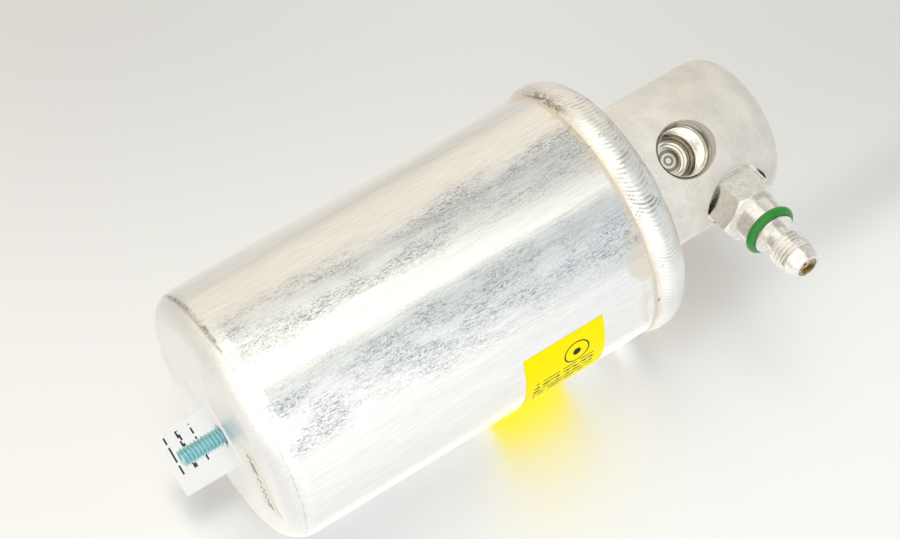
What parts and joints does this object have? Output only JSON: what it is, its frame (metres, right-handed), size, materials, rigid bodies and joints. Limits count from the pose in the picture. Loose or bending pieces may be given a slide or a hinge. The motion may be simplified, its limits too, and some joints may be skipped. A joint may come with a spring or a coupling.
{
  "type": "filter drier",
  "caption": "Welded aluminium filter drier with a stud in its floor, a head with a side port and an end port, and a sprung service valve.",
  "frame": {"origin": "axis of the mounting stud, where it leaves the outer face of the can's floor", "axes": "+Z along the can towards the head, -Y out of the side port, +X to the side port's right"},
  "size_m": [0.1013, 0.092, 0.2218],
  "materials": {
    "can_alloy": "satin drawn",
    "head_alloy": "turned, matt",
    "weld": "as welded",
    "zinc_steel": "zinc plated",
    "valve_metal": "turned, plated",
    "core_brass": "turned",
    "green_rubber": "moulded",
    "black_rubber": "moulded",
    "seal_plastic": "turned",
    "spring_steel": "drawn wire",
    "plate_steel": "pressed",
    "felt": "pressed felt",
    "drying_beads": "fired beads",
    "label_yellow": "gloss printed",
    "label_cream": "matt printed",
    "tag_paper": "folded sheet"
  },
  "bodies": {
    "drier": {"can": "can_alloy", "head": "head_alloy", "weld_bead": "weld", "mounting_stud": "zinc_steel", "paper_tag": "tag_paper", "bottom_label": "label_cream", "side_label": "label_yellow", "valve_body": "valve_metal", "valve_oring": "green_rubber", "valve_seat_oring": "black_rubber", "valve_core_body": "core_brass", "valve_core_spring": "spring_steel", "valve_core_gasket": "seal_plastic", "pickup_tube": "can_alloy", "tube_oring": "black_rubber", "strainer": "plate_steel", "desiccant_bed": "drying_beads", "upper_pad": "felt", "lower_pad": "felt", "upper_plate": "plate_steel", "lower_plate": "plate_steel", "pack_spring": "spring_steel"},
    "core_pin": {"valve_core_pin": "core_brass", "valve_core_seal": "black_rubber"}
  },
  "joints": [
    {"name": "core_press", "type": "slide", "parent": "drier", "child": "core_pin", "axis": [-0.848, 0.5299, 0], "range_m": [0, 0.0012], "stiffness_N_per_m": 2000, "springref_m": -0.001, "deforming": ["valve_core_spring"]}
  ]
}
